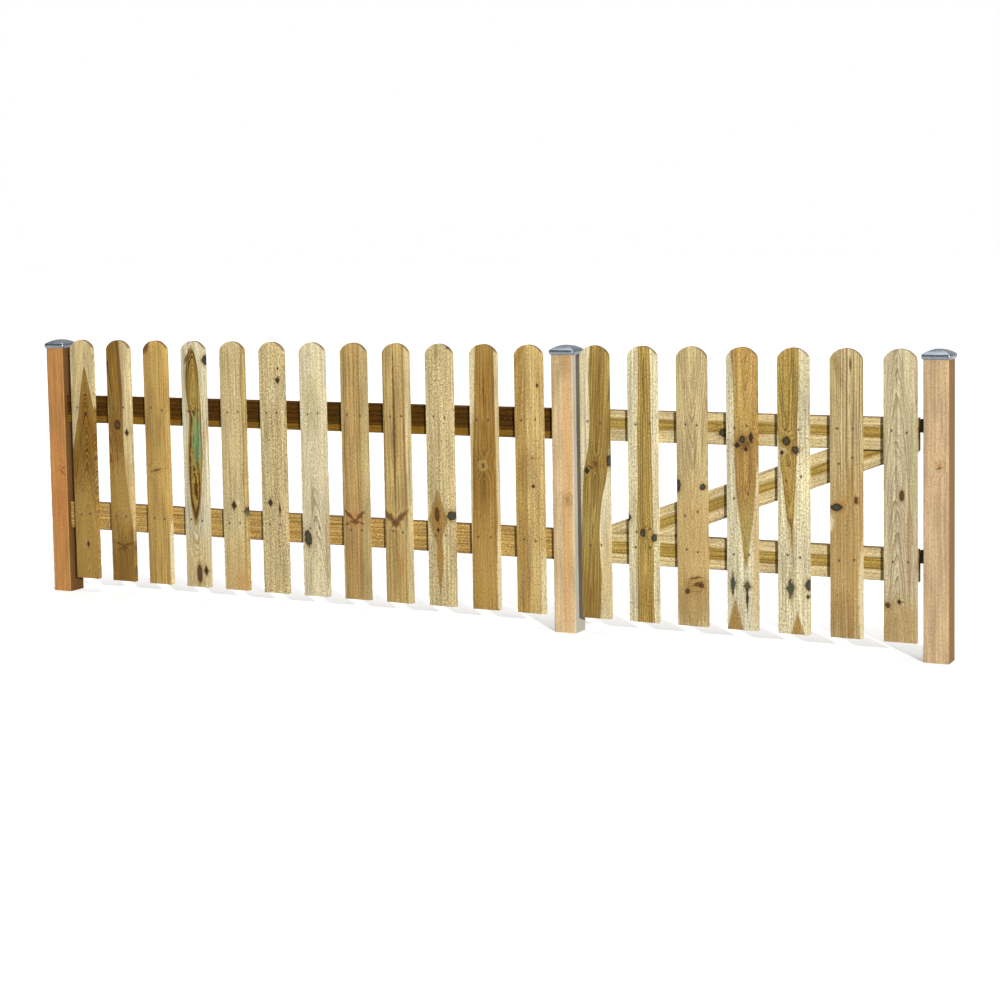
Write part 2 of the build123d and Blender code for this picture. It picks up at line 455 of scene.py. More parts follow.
def weathered(tree, colour, noises, painted, specks, streaky, mottle):
    """The wood's colour with its streaks, clouds, marks and flecks."""
    fleck = noises["fleck"]
    shades = (
        (noises["streaks"], 1 - 0.42 * streaky, 1 + 0.28 * streaky),
        (noises["cloud"], *CLOUD_TONES),
    )
    for noise, darkest, lightest in shades:
        shade = add_node(
            tree, "MapRange", {"Value": noise, **NOISE_SPAN, "To Min": darkest, "To Max": lightest}
        )
        colour = add_node(tree, "Mix", {0: 1.0, 6: colour, 7: shade}, data_type="RGBA", blend_type="MULTIPLY")
    pooled = add_node(
        tree, "MapRange", {"Value": noises["cloud"], "From Min": 0.5, "From Max": 0.8, "To Max": mottle}
    )
    for covered, tone in [(pooled, linear(TONES["olive"])), *painted]:
        colour = add_node(tree, "Mix", {0: covered, 6: colour, 7: tone}, data_type="RGBA")
    fleck_tones = {"To Min": 1 + 0.3 * specks, "To Max": 1 - 0.45 * specks}
    flecked = add_node(tree, "MapRange", {"Value": fleck, **NOISE_SPAN, **fleck_tones})
    colour = add_node(tree, "Mix", {0: 1.0, 6: colour, 7: flecked}, data_type="RGBA", blend_type="MULTIPLY")
    resin = add_node(
        tree, "MapRange", {"Value": fleck, "From Min": 0.56, "From Max": 0.66, "To Max": 0.5 * specks}
    )
    return add_node(tree, "Mix", {0: resin, 6: colour, 7: linear(TONES["umber"])}, data_type="RGBA")


print("clouds change the tone by", CLOUD_TONES)

# %% [markdown]
# ## The board's material
# Sawn ends drink more preservative, so the head's cut and the foot are browner. A post's right side has a
# tone of its own: on the left post it is painted shade, a dark brown for the shadow of the first picket and
# the rails, on the hinge post a darker brown and on the middle post a grey. Both are chosen by which way the
# surface faces. Latewood is hard and stands a little proud of the soft early wood after sawing, so the same
# lines drive a faint bump. Sawn pine is dull, with an IOR of about 1.5 and a rough, fibrous sheen.

# %% The pine board material
GRAIN_RELIEF = 0.0008
DULLNESS = {"To Min": 0.62, "To Max": 0.82}


def ends_and_side_tone_and_shade(tree, colour, normal, side):
    """Browner sawn ends, and a right side of its own tone, which is painted shade on the left post."""
    facing = add_node(tree, "SeparateXYZ", {"Vector": normal}).outputs
    end = add_node(tree, "Math", {0: facing["Z"]}, operation="ABSOLUTE")
    end = add_node(tree, "MapRange", {"Value": end, "From Min": 0.2, "From Max": 0.6, "To Max": 0.75})
    colour = add_node(tree, "Mix", {0: end, 6: colour, 7: linear(TONES["dark"])}, data_type="RGBA")
    # Right side: painted shade on the left post, darker brown on the hinge post, grey on the middle post.
    if side:
        right = add_node(
            tree, "MapRange", {"Value": facing["X"], "From Min": 0.5, "From Max": 0.9, "To Max": 0.85}
        )
        colour = add_node(tree, "Mix", {0: right, 6: colour, 7: linear(TONES[side])}, data_type="RGBA")
    return colour


def pine_board(
    name, centre, turn=0.0, pith=(0, 8), lean=0.0, taper=0.0, heart=30, rings=6, sap="cream", core="chestnut",
    rim=0.3, contrast=0.5, specks=0.5, streaky=1.0, mottle=0.3, gloss=0.2, side=None, marks=(), seed=0,
):
    """Pressure-treated sawn pine: dull, fibrous and mottled, with darker latewood lines that stand proud."""
    material, tree = new_material(name)
    place = add_node(tree, "TexCoord", {})
    board = board_directions(tree, place, centre, turn)
    noises = wood_noises(tree, board, seed)
    radius = pith_distance(tree, board, noises["wander"], pith, lean, taper)
    radius, ring_radius, painted = draw_marks(tree, board, noises["ragged"], radius, marks)
    lines = latewood_lines(tree, ring_radius, rings, contrast)
    colour, lines = heart_and_sap(tree, radius, lines, heart, sap, core, rim)
    colour = weathered(tree, colour, noises, painted, specks, streaky, mottle)
    colour = ends_and_side_tone_and_shade(tree, colour, place.outputs["Normal"], side)
    height = add_node(tree, "Math", {0: noises["streaks"], 1: 0.5, 2: lines}, operation="MULTIPLY_ADD")
    bump = add_node(tree, "Bump", {"Height": height, "Strength": 0.35, "Distance": GRAIN_RELIEF})
    dull = add_node(tree, "MapRange", {"Value": noises["streaks"], **NOISE_SPAN, **DULLNESS})
    shader = add_node(
        tree,
        "BsdfPrincipled",
        {"Base Color": colour, "Roughness": dull, "Normal": bump, "IOR": 1.5, "Specular IOR Level": gloss},
    )
    add_node(tree, "OutputMaterial", {"Surface": shader})
    return material


print("grain stands proud by up to", GRAIN_RELIEF * MM_PER_M, "mm")

# %% [markdown]
# ## One picket
# A picket is a sawn board with an arched head: a wide arc with small rounded shoulders. It could be an
# outline that is filled and extruded. Here a box is drawn up to the shoulders and its top face is extruded
# in short steps, each narrowed to the arc's width at that height, because that keeps the mesh in clean
# bands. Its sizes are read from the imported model, so that it lies where the solid does.

# %% The picket's sizes
leaf_low, leaf_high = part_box("gate_picket_1")
PICKET_WIDTH = leaf_high.x - leaf_low.x
PICKET_FRONT = leaf_low.y
PICKET_BACK = leaf_high.y
PICKET_FOOT = leaf_low.z
PICKET_TOP = leaf_high.z
PICKET_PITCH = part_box("gate_picket_2")[0].x - leaf_low.x
HEAD_RADIUS = 0.050
SHOULDER_RADIUS = 0.014
SHOULDER_SHARES = (0, 0.35, 0.7, 1)
HEAD_STEPS = 12
HEAD_END = math.radians(87.5)


def head_steps():
    """Heights and half widths of the arched head, from the shoulders up."""
    half = PICKET_WIDTH / 2
    arc_centre = PICKET_TOP - HEAD_RADIUS
    inset = half - SHOULDER_RADIUS
    rise = math.sqrt((HEAD_RADIUS - SHOULDER_RADIUS) ** 2 - inset**2)
    meet = math.atan2(rise, inset)
    steps = []
    for share in SHOULDER_SHARES:
        height = arc_centre + rise + SHOULDER_RADIUS * math.sin(meet * share)
        steps.append((height, inset + SHOULDER_RADIUS * math.cos(meet * share)))
    for number in range(1, HEAD_STEPS + 1):
        angle = meet + (HEAD_END - meet) * number / HEAD_STEPS
        steps.append((arc_centre + HEAD_RADIUS * math.sin(angle), HEAD_RADIUS * math.cos(angle)))
    return steps


print("picket", [round(v * 1000) for v in leaf_high - leaf_low], "mm, pitch", round(PICKET_PITCH * 1000))


# %% Model the first picket
def select_faces(mesh, wanted):
    """Selects the faces that pass the test, and nothing else. Used from object mode."""
    for vertex in mesh.vertices:
        vertex.select = False
    for edge in mesh.edges:
        edge.select = False
    for face in mesh.polygons:
        face.select = wanted(face)


def add_box(name, middle, size):
    """A box at its size and place, both of them put into its mesh. It is left active."""
    bpy.ops.object.select_all(action="DESELECT")
    bpy.ops.mesh.primitive_cube_add(size=1, location=middle, scale=size)
    box = bpy.context.object
    box.name = name
    bpy.ops.object.transform_apply(location=True, rotation=True, scale=True)
    return box


steps = head_steps()
shoulder = steps[0][0]
picket = add_box(
    "picket",
    (0, (PICKET_FRONT + PICKET_BACK) / 2, (PICKET_FOOT + shoulder) / 2),
    (PICKET_WIDTH, PICKET_BACK - PICKET_FRONT, shoulder - PICKET_FOOT),
)
select_faces(picket.data, lambda face: face.normal.z > 0.9)
bpy.ops.object.mode_set(mode="EDIT")
bpy.ops.mesh.select_mode(type="FACE")
for (below, width_below), (above, width_above) in zip(steps, steps[1:]):
    bpy.ops.mesh.extrude_region_move(TRANSFORM_OT_translate={"value": (0, 0, above - below)})
    bpy.ops.transform.resize(value=(width_above / width_below, 1, 1), center_override=(0, 0, 0))
bpy.ops.object.mode_set(mode="OBJECT")
print("picket before easing:", len(picket.data.polygons), "faces")

# %% [markdown]
# ## Softened edges
# The front edge of a picket is eased with a plane or sandpaper so that it gives no splinters, and the back
# is left nearly as the saw left it. A Bevel modifier would round every sharp edge alike, so the outline of
# the front and of the back is selected and bevelled on its own.

# %% Ease the picket's edges
EASED_EDGE = 0.002
SAWN_EDGE = 0.0008
SAME_PLANE = 1e-5
MERGE_DISTANCE = 0.00005
WOOD_SMOOTHING = math.radians(40)


def select_outline(mesh, y):
    """Selects the outline of the face that lies in the plane at y: its edges that border another plane."""
    select_faces(mesh, lambda face: False)
    shared = {}
    for face in mesh.polygons:
        if all(abs(mesh.vertices[i].co.y - y) < SAME_PLANE for i in face.vertices):
            for key in face.edge_keys:
                shared[key] = shared.get(key, 0) + 1
    for edge in mesh.edges:
        edge.select = shared.get(edge.key, 0) == 1


for plane, ease, segments in ((PICKET_FRONT, EASED_EDGE, 3), (PICKET_BACK, SAWN_EDGE, 1)):
    select_outline(picket.data, plane)
    bpy.ops.object.mode_set(mode="EDIT")
    bpy.ops.mesh.select_mode(type="EDGE")
    bpy.ops.mesh.bevel(offset=ease, segments=segments, profile=0.5, clamp_overlap=True)
    bpy.ops.object.mode_set(mode="OBJECT")
bpy.ops.object.mode_set(mode="EDIT")
bpy.ops.mesh.select_all(action="SELECT")
bpy.ops.mesh.remove_doubles(threshold=MERGE_DISTANCE)
bpy.ops.mesh.normals_make_consistent(inside=False)
bpy.ops.object.mode_set(mode="OBJECT")
bpy.ops.object.shade_smooth_by_angle(angle=WOOD_SMOOTHING)
print("picket:", len(picket.data.polygons), "faces, top", round(max(v.co.z for v in picket.data.vertices), 4))

# %% [markdown]
# ## Nineteen slices of tree
# No two boards of a real fence look alike. One grain with a random seed for each board would be quick, but
# a board is known by its knots and its heart, so each has its own slice of tree: where the pith runs, how
# the heart narrows, and its own marks. A mark's kind is followed by its place across the board from its
# middle and above its foot, its half width and half height, all in millimetres, and any tilt in degrees.

# %% Grain of the fence's pickets
FENCE_GRAIN = [
    dict(
        pith=(12, 10), lean=0.01, taper=0.17, heart=61.5, rings=2.9, contrast=1.3, core="walnut", rim=0.5,
        marks=[("wash", 0, 130, 90, 240), ("black", 6, 116, 6, 11)],
    ),
    dict(
        pith=(-40, 5), taper=0.064, heart=71.5, rings=5, core="nut", rim=0.6, contrast=0.8,
        marks=[
            ("pinch", 48, 430, 42, 210), ("wash", 5, 290, 70, 150), ("rosette", -8, 522, 24, 22),
            ("knot", -8, 520, 14, 16), ("black", 30, 495, 8, 12), ("feather", -14, 124, 26, 4, 18),
            ("feather", 22, 124, 24, 4, -14), ("feather", -6, 108, 18, 4, -20),
            ("feather", 9, 113, 10, 10), ("shade", 0, 30, 50, 60),
        ],
    ),
    dict(
        pith=(-30, 20), heart=200, rings=9, core="honey", contrast=0.25,
        marks=[
            ("swirl", -3, 376, 30, 10, -14), ("feather", -4, 376, 26, 4, -14),
            ("feather", -36, 775, 14, 36, 35), ("pale", 47, 90, 7, 120),
        ],
    ),
    dict(
        pith=(0, 34), rings=4.5, heart=16, core="oak", sap="white", rim=0.45, contrast=1.4,
        marks=[
            ("island", 6, 440, 60, 340, 4), ("island", -12, 690, 40, 130, 3), ("stain", 9, 480, 16, 78),
            ("rust", 42, 498, 6, 40), ("black", 48, 739, 12, 20), ("feather", -24, 742, 7, 22, 25),
            ("wash", 0, 60, 80, 130), ("knot", 6, 45, 10, 30), ("black", 32, 55, 9, 17),
        ],
    ),
    dict(
        pith=(60, -10), heart=26, rings=6, core="tan", specks=0.8, contrast=0.5,
        marks=[
            ("black", -3, 274, 9, 16), ("faded", 14, 285, 8, 12), ("black", 46, 255, 12, 15),
            ("green", 45, 235, 10, 20), ("wash", 5, 40, 70, 130), ("rust", 20, 30, 25, 30),
        ],
    ),
    dict(
        pith=(20, 40), heart=5, rings=6, specks=1.3, contrast=0.5,
        marks=[
            ("black", 24, 680, 9, 11), ("black", 26, 717, 4, 5), ("black", -14, 289, 9, 13),
            ("black", 21, 270, 4, 22), ("faded", 6, 640, 14, 34),
        ],
    ),
    dict(
        pith=(2, 26), lean=-0.02, taper=0.1, heart=18, rings=3.4, core="grey", sap="grey", rim=0.05,
        contrast=0.6, specks=0.7, streaky=0.6,
        marks=[
            ("green", 0, 600, 26, 80), ("faded", -14, 183, 26, 34), ("green_knot", -26, 183, 14, 26, -8),
            ("shade", -6, 299, 5, 50), ("shade", 44, 200, 6, 170),
        ],
    ),
    dict(
        pith=(-6, 4), heart=29, rings=8, core="saddle", sap="fawn", rim=0.7, contrast=0.35, specks=0.6,
        marks=[
            ("tint", 0, 90, 70, 140), ("rust", 0, 255, 30, 26), ("feather", -24, 264, 26, 7, 42),
            ("feather", 16, 264, 28, 8, -42), ("feather", -2, 244, 22, 9),
            ("feather", -30, 236, 10, 5, -15), ("feather", 22, 240, 8, 4, 15),
        ],
    ),
    dict(
        pith=(-7, 3), heart=37, rings=9, core="tan", sap="cream", rim=0.7, contrast=0.35,
        marks=[
            ("feather", -7, 540, 5, 340), ("shade", 27, 520, 5, 330), ("feather", -28, 265, 36, 11, 42),
            ("feather", 10, 265, 36, 11, -42), ("feather", -9, 246, 16, 15), ("shade", -8, 150, 4, 120),
            ("rust", 8, 111, 10, 30), ("tint", 0, 90, 70, 140),
        ],
    ),
    dict(
        pith=(70, 20), heart=4, rings=6, specks=1.1, contrast=0.4,
        marks=[
            ("flame", -10, 265, 30, 85), ("flame", -5, 150, 11, 115), ("knot", -13, 282, 8, 22),
            ("black", -10, 234, 5, 8), ("green_knot", 36, 279, 14, 15, 25), ("shade", -5, 780, 7, 26),
            ("green_knot", 35, 790, 6, 6),
        ],
    ),
    dict(
        pith=(2, 10), lean=0.01, taper=0.02, heart=40, rings=6, contrast=0.45,
        marks=[
            ("wash", 0, 120, 70, 200), ("eye", -3, 437, 20, 20), ("feather", 2, 660, 3, 90),
            ("pale", -47, 690, 16, 130), ("pale", 47, 100, 8, 150),
        ],
    ),
    dict(
        pith=(-40, 30), heart=44, rings=8, core="honey", sap="tan", contrast=0.35, specks=0.8,
        marks=[
            ("rust", 12, 464, 9, 7), ("bruise", 10, 464, 6, 4), ("rust", 12, 382, 9, 9),
            ("black", 13, 381, 5, 7), ("black", 30, 680, 4, 7), ("shade", -32, 765, 10, 50, 25),
            ("pale", 43, 60, 8, 120),
        ],
    ),
]
print("fence pickets:", len(FENCE_GRAIN))

# %% Grain of the gate's pickets
GATE_GRAIN = [
    dict(
        pith=(0, 5), lean=0.06, heart=35, rings=5, core="loam", sap="pale", contrast=0.6,
        marks=[
            ("pinch", -46, 580, 38, 130), ("pinch", 46, 260, 42, 150), ("wash", 38, 120, 26, 170),
            ("rosette", 3, 455, 18, 16), ("black", -25, 435, 9, 11), ("green_knot", 46, 466, 9, 18),
            ("feather", -14, 445, 16, 4, 30), ("shade", -15, 60, 34, 80), ("shade", 10, 620, 14, 100),
        ],
    ),
    dict(
        pith=(7, 4), taper=0.012, heart=22.5, rings=5, core="brass", sap="pale", specks=0.8, contrast=0.6,
        marks=[
            ("green", -36, 320, 12, 60), ("black", -44, 303, 8, 12), ("green_knot", -1, 261, 9, 12),
            ("green_knot", 34, 248, 9, 12), ("shade", 14, 60, 18, 80),
        ],
    ),
    dict(
        pith=(4, 16), taper=-0.085, heart=2, rings=4.2, contrast=0.8, core="wheat", sap="wheat", rim=0.0,
        marks=[
            ("wash", 0, 220, 90, 240), ("shade", 0, 70, 70, 70), ("rosette", 12, 118, 26, 20),
            ("green_knot", -43, 403, 10, 20), ("green_knot", 33, 402, 9, 9),
            ("eye", 16, 122, 28, 20, -20), ("feather", 16, 123, 22, 5, -25),
            ("feather", 10, 140, 24, 4, -10), ("knot", 27, 119, 8, 7), ("knot", -15, 100, 7, 8),
            ("shade", -20, 690, 4, 16),
        ],
    ),
    dict(
        pith=(12, 6), taper=-0.1, heart=29, rings=4, core="honey", sap="white", specks=0.8,
        marks=[
            ("pinch", -46, 680, 36, 280), ("tint", 10, 380, 50, 170), ("rosette", 8, 530, 36, 30),
            ("black", -13, 524, 9, 9), ("green_knot", 2, 541, 9, 10), ("black", 28, 548, 8, 16),
            ("black", 13, 514, 6, 7), ("green", 14, 290, 16, 70), ("wash", 42, 200, 16, 240),
            ("tear", -28, 130, 9, 34), ("flame", -22, 0, 22, 85), ("tear", 14, 126, 11, 18),
            ("black", 14, 92, 4, 36),
        ],
    ),
    dict(
        pith=(-10, 14), lean=-0.04, taper=-0.0525, heart=22.5, rings=3.6, contrast=0.6,
        core="brass", sap="pale", specks=0.9,
        marks=[
            ("faded", -32, 512, 12, 16), ("green_knot", -19, 540, 12, 13),
            ("green_knot", 7, 516, 11, 12), ("black", -32, 508, 6, 8), ("tear", -9, 128, 11, 32),
            ("green_knot", 44, 140, 10, 15), ("black", 41, 108, 5, 7), ("flame", 11, 0, 17, 58),
        ],
    ),
    dict(
        pith=(12, 10), heart=300, rings=5, contrast=0.7, core="wheat", rim=0.0,
        marks=[
            ("wash", 5, 250, 90, 260), ("tint", 5, 240, 90, 200), ("rust", -12, 374, 18, 12),
            ("green_knot", -26, 362, 16, 10), ("knot", 28, 384, 5, 10), ("pale", -42, 318, 7, 20),
            ("shade", 20, 470, 5, 110), ("shade", -22, 740, 10, 60, -15), ("shade", -10, 50, 44, 80),
            ("pale", 44, 110, 9, 130),
        ],
    ),
    dict(
        pith=(-9, 18), taper=0.08, heart=1, rings=3.2, contrast=1.1, core="dun", sap="dun", rim=0.0,
        marks=[
            ("green", 38, 480, 10, 160), ("knot", 5, 402, 7, 15), ("shade", 26, 260, 8, 140),
            ("wash", 0, 40, 120, 90), ("tint", 0, 40, 120, 90), ("black", -2, 112, 6, 8),
            ("knot", -34, 100, 7, 8),
        ],
    ),
]
print("gate pickets:", len(GATE_GRAIN))

# %% [markdown]
# ## Where the nails go
# Two nails hold each picket to each rail, and two more to the brace where it passes behind. Nobody nails
# in a perfect line, so each place is a little off. The chance is seeded, which gives the same gate every
# time. The places come before the boards, because the wood darkens round each nail.

# %% Where the nails go
nail_chance = random.Random(7)
fence_low, fence_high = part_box("fence_panel")
brace_low, brace_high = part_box("gate_brace")
brace_middle = (brace_low + brace_high) / 2
rail_low, rail_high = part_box("gate_upper_rail")
RAIL_HEIGHT = rail_high.z - rail_low.z
RAILS = {"upper": rail_low.z, "lower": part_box("gate_lower_rail")[0].z}
BRACE_SLOPE = math.radians(20.53)
FENCE_END_GAP = 0.030
NAIL_SIDE = 0.020
NAIL_RISE = 0.009
NAIL_WANDER = 0.004


def nail_places(centre_x, braced=False):
    """Two nails at each rail, and two at the brace where it passes behind, each a little off its line."""
    places = []
    for side in (-NAIL_SIDE, NAIL_SIDE):
        heights = [foot + RAIL_HEIGHT / 2 + NAIL_RISE for foot in RAILS.values()]
        if braced:
            heights.append(brace_middle.z + (centre_x + side - brace_middle.x) * math.tan(BRACE_SLOPE))
        for height in heights:
            off_side = nail_chance.uniform(-NAIL_WANDER, NAIL_WANDER)
            off_height = nail_chance.uniform(-NAIL_WANDER, NAIL_WANDER)
            places.append((centre_x + side + off_side, height + off_height))
    return places


fence_start = fence_low.x + FENCE_END_GAP + PICKET_WIDTH / 2
fence_centres = [fence_start + number * PICKET_PITCH for number in range(len(FENCE_GRAIN))]
leaf_start = leaf_low.x + PICKET_WIDTH / 2
leaf_centres = [leaf_start + number * PICKET_PITCH for number in range(len(GATE_GRAIN))]
unbraced = (leaf_centres[0], leaf_centres[-1])
fence_nails = [nail_places(centre_x) for centre_x in fence_centres]
leaf_nails = [nail_places(centre_x, braced=centre_x not in unbraced) for centre_x in leaf_centres]
print("nails:", sum(map(len, fence_nails)), "in the fence,", sum(map(len, leaf_nails)), "in the leaf")

# %% [markdown]
# ## Nineteen boards from one
# Every picket is a copy of the first, moved to its place in the row. Linked copies would share one mesh and
# so one material, so each copy has its own mesh. The move goes into the mesh and not the object, which
# leaves every board's coordinates in the one shared frame.

# %% Set the pickets in their rows
NAIL_BRUISE = (3.8, 5)
LEAF_SEEDS = 21


def copy_piece(piece, name, place):
    """A copy with its own mesh, into which the matrix that places it goes."""
    copy = piece.copy()
    copy.data = piece.data.copy()
    copy.name = name
    copy.data.name = name
    copy.data.transform(place)
    bpy.context.collection.objects.link(copy)
    return copy


def place_picket(name, centre_x, grain, nails, seed):
    """A copy of the first picket in its place, with its own grain."""
    board = copy_piece(picket, name, Matrix.Translation((centre_x, 0, 0)))
    middle = (centre_x, PICKET_FRONT, (PICKET_FOOT + PICKET_TOP) / 2)
    half_height = (PICKET_TOP - PICKET_FOOT) * MM_PER_M / 2
    marks = [(kind, u, v - half_height, *rest) for kind, u, v, *rest in grain["marks"]]
    for x, z in nails:
        marks.append(("bruise", (x - centre_x) * MM_PER_M, (z - middle[2]) * MM_PER_M, *NAIL_BRUISE))
    grain = dict(grain, marks=marks)
    board.data.materials.append(pine_board("treated_pine_" + name, middle, seed=seed, **grain))
    return board


for number, centre_x in enumerate(fence_centres):
    name = f"fence_picket_{number + 1}"
    board = place_picket(name, centre_x, FENCE_GRAIN[number], fence_nails[number], number + 1)
    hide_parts("fence_panel")
    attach(board, "posts_and_fence")
for number, centre_x in enumerate(leaf_centres):
    name = f"leaf_picket_{number + 1}"
    board = place_picket(name, centre_x, GATE_GRAIN[number], leaf_nails[number], number + LEAF_SEEDS)
    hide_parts(f"gate_picket_{number + 1}")
    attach(board, "gate_leaf")
bpy.data.objects.remove(picket)
print("pickets placed:", len(fence_centres) + len(leaf_centres))

# %% [markdown]
# ## Fence rails
# The rails are plain boards on edge behind the pickets, with their long edges eased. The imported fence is
# one solid, so its rails are modelled here to carry a grain of their own: a box, its four long edges
# bevelled. The upper rail is dark heartwood and the lower one is paler.

# %% Fence rails
RAIL_GRAIN = {
    "upper": dict(
        pith=(30, 6), heart=52, rings=9, core="treacle", sap="toffee", contrast=0.7, specks=0.8, mottle=0.0,
        gloss=0.08, seed=41,
    ),
    "lower": dict(
        pith=(70, 10), heart=12, rings=9, core="straw", sap="honey", contrast=1.2, specks=1.2, seed=42
    ),
}
LYING = math.pi / 2
LONG_EDGE = 0.5
for level, foot in RAILS.items():
    middle = Vector(
        ((fence_low.x + fence_high.x) / 2, (rail_low.y + rail_high.y) / 2, foot + RAIL_HEIGHT / 2)
    )
    size = (fence_high.x - fence_low.x, rail_high.y - rail_low.y, RAIL_HEIGHT)
    rail = add_box(f"fence_{level}_rail", middle, size)
    select_faces(rail.data, lambda face: False)
    for edge in rail.data.edges:
        start, end = (rail.data.vertices[i].co for i in edge.vertices)
        edge.select = abs(start.x - end.x) > LONG_EDGE
    bpy.ops.object.mode_set(mode="EDIT")
    bpy.ops.mesh.select_mode(type="EDGE")
    bpy.ops.mesh.bevel(offset=EASED_EDGE, segments=3, profile=0.5)
    bpy.ops.object.mode_set(mode="OBJECT")
    bpy.ops.object.shade_smooth_by_angle(angle=WOOD_SMOOTHING)
    front = (middle.x, rail_low.y, middle.z)
    rail.data.materials.append(
        pine_board(f"treated_pine_fence_{level}_rail", front, turn=LYING, **RAIL_GRAIN[level])
    )
    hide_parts("fence_panel")
    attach(rail, "posts_and_fence")
    print(rail.name, len(rail.data.polygons), "faces")

# %% [markdown]
# ## Leaf rails and brace
# The leaf's rails and its brace are right as they were packed, so they keep their shape and only get a
# grain, laid along each board. The brace's grain is turned by its slope as well, because a board is cut
# along the tree whichever way it is nailed up.

# %% Leaf rails and brace
LEAF_BOARDS = {
    "gate_upper_rail": dict(
        turn=LYING, pith=(6, 4), heart=16, core="oak", seed=51, marks=[("green_knot", -11, 57, 12, 16)]
    ),
    "gate_lower_rail": dict(turn=LYING, pith=(2, 4), heart=18, core="oak", seed=52),
    "gate_brace": dict(turn=LYING + BRACE_SLOPE, pith=(0, 4), heart=14, core="oak", seed=53),
}


def dress_board(node, name, grain):
    """Lays a grain on a packed board, measured from the middle of its front."""
    low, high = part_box(node)
    front = ((low.x + high.x) / 2, low.y, (low.z + high.z) / 2)
    nodes[node].data.materials.clear()
    nodes[node].data.materials.append(pine_board(name + node, front, **grain))


for node, grain in LEAF_BOARDS.items():
    dress_board(node, "treated_pine_", dict(grain, rings=7, specks=0.8))
print("leaf boards dressed:", list(LEAF_BOARDS))

# %% [markdown]
# ## Posts
# The posts are planed softwood, redder than the boards, and each came from another tree. They use the
# same grain with warmer tones, wider rings and fewer flecks, because planing leaves a smoother face. Their
# marks are placed from the post's middle, both across it and up it.

# %% Post grain
PLANED = dict(rings=9, contrast=0.4, specks=0.4, streaky=0.65, mottle=0.15)
POST_GRAIN = {
    "left_post": dict(
        # The side tone here is painted shade, for the shadow of the first picket and the rails on the right
        # side.
        pith=(30, 60), heart=46, core="russet", sap="clay", side="treacle", seed=61,
        marks=[
            ("swirl", 12, -8, 20, 14, 30), ("feather", 16, -14, 16, 3, 35), ("feather", 22, 2, 10, 3, -40),
            ("rust", 0, -70, 30, 160),
        ],
    ),
    "middle_post": dict(
        pith=(40, 90), heart=1, core="apricot", sap="peach", side="silver", rim=0.0, seed=62,
        marks=[
            ("warm", 15, 150, 13, 260), ("warm", 10, -230, 12, 200), ("swirl", 13, -22, 14, 16),
            ("whorl", 13, -22, 16, 18), ("swirl", 18, 380, 20, 40),
        ],
    ),
    "hinge_post": dict(
        pith=(45, 35), heart=22, core="russet", sap="pink", side="bark_brown", seed=63,
        marks=[("whorl", 10, 119, 12, 17, 20), ("feather", 8, 112, 10, 3, -20)],
    ),
}
for node, grain in POST_GRAIN.items():
    dress_board(node, "planed_", dict(PLANED, **grain))
print("posts dressed:", list(POST_GRAIN))

# %% [markdown]
# ## Galvanised sheet
# The caps are pressed from zinc-coated sheet: grey, a little blue, with soft reflections and faint crystals
# of zinc. Cells of a Voronoi texture have the crystals' shape, and each cell's random tone makes it a
# little lighter or duller than the next.

# %% Galvanised sheet
ZINC_CRYSTAL_MM = 6


def galvanised_sheet():
    """Zinc-coated steel: metallic and blue-grey, in crystals that vary a little in tone and gloss."""
    material, tree = new_material("galvanised_sheet")
    place = add_node(tree, "TexCoord", {}).outputs["Object"]
    crystals = add_node(tree, "TexVoronoi", {"Vector": place, "Scale": MM_PER_M / ZINC_CRYSTAL_MM})
    grey = add_node(tree, "SeparateColor", {"Color": crystals.outputs["Color"]})
    tone = add_node(tree, "Mix", {0: grey, 6: linear("#767d86"), 7: linear("#888f97")}, data_type="RGBA")
    dull = add_node(tree, "MapRange", {"Value": grey, "To Min": 0.3, "To Max": 0.36})
    shader = add_node(tree, "BsdfPrincipled", {"Base Color": tone, "Metallic": 1.0, "Roughness": dull})
    add_node(tree, "OutputMaterial", {"Surface": shader})
    return material


zinc = galvanised_sheet()
print("zinc crystals:", ZINC_CRYSTAL_MM, "mm")

# %% [markdown]
# ## Black coated steel
# The hinges are steel with a baked black coating, nearly matt. Baked powder flows into a fine orange-peel,
# which a small noise gives as bump and as a slight change of gloss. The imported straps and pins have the
# right shape, so they only take this finish.

# %% Black coated steel
PEEL_MM = 2


def black_coating():
    """Black powder coat on steel: nearly matt, with the fine orange-peel of baked powder."""
    material, tree = new_material("black_coated_steel")
    place = add_node(tree, "TexCoord", {}).outputs["Object"]
    peel = add_node(tree, "TexNoise", {"Vector": place, "Scale": MM_PER_M / PEEL_MM, "Detail": 1.0})
    tone = add_node(tree, "Mix", {0: peel, 6: linear("#17181a"), 7: linear("#232427")}, data_type="RGBA")
    dull = add_node(tree, "MapRange", {"Value": peel, "To Min": 0.42, "To Max": 0.58})
    bump = add_node(tree, "Bump", {"Height": peel, "Strength": 0.2, "Distance": 0.0003})
    shader = add_node(tree, "BsdfPrincipled", {"Base Color": tone, "Roughness": dull, "Normal": bump})
    add_node(tree, "OutputMaterial", {"Surface": shader})
    return material


black_steel = black_coating()
for name, node in nodes.items():
    if "hinge_strap" in name or "pintle" in name:
        node.data.materials.clear()
        node.data.materials.append(black_steel)
print("hinges dressed")

# %% [markdown]
# ## Post caps
# Each post wears a cap pressed from one sheet: a rounded rim, and a roof that swells from a soft edge to
# a nearly flat top. It could be a lathe shape, but it is square, so a thin square slab with rounded
# corners is drawn first, and the rest grows from its top and bottom faces.

# %% A slab with rounded corners
cap_low, cap_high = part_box("middle_post_cap")
CAP_HALF = (cap_high.x - cap_low.x) / 2
CAP_CORNER = 0.005
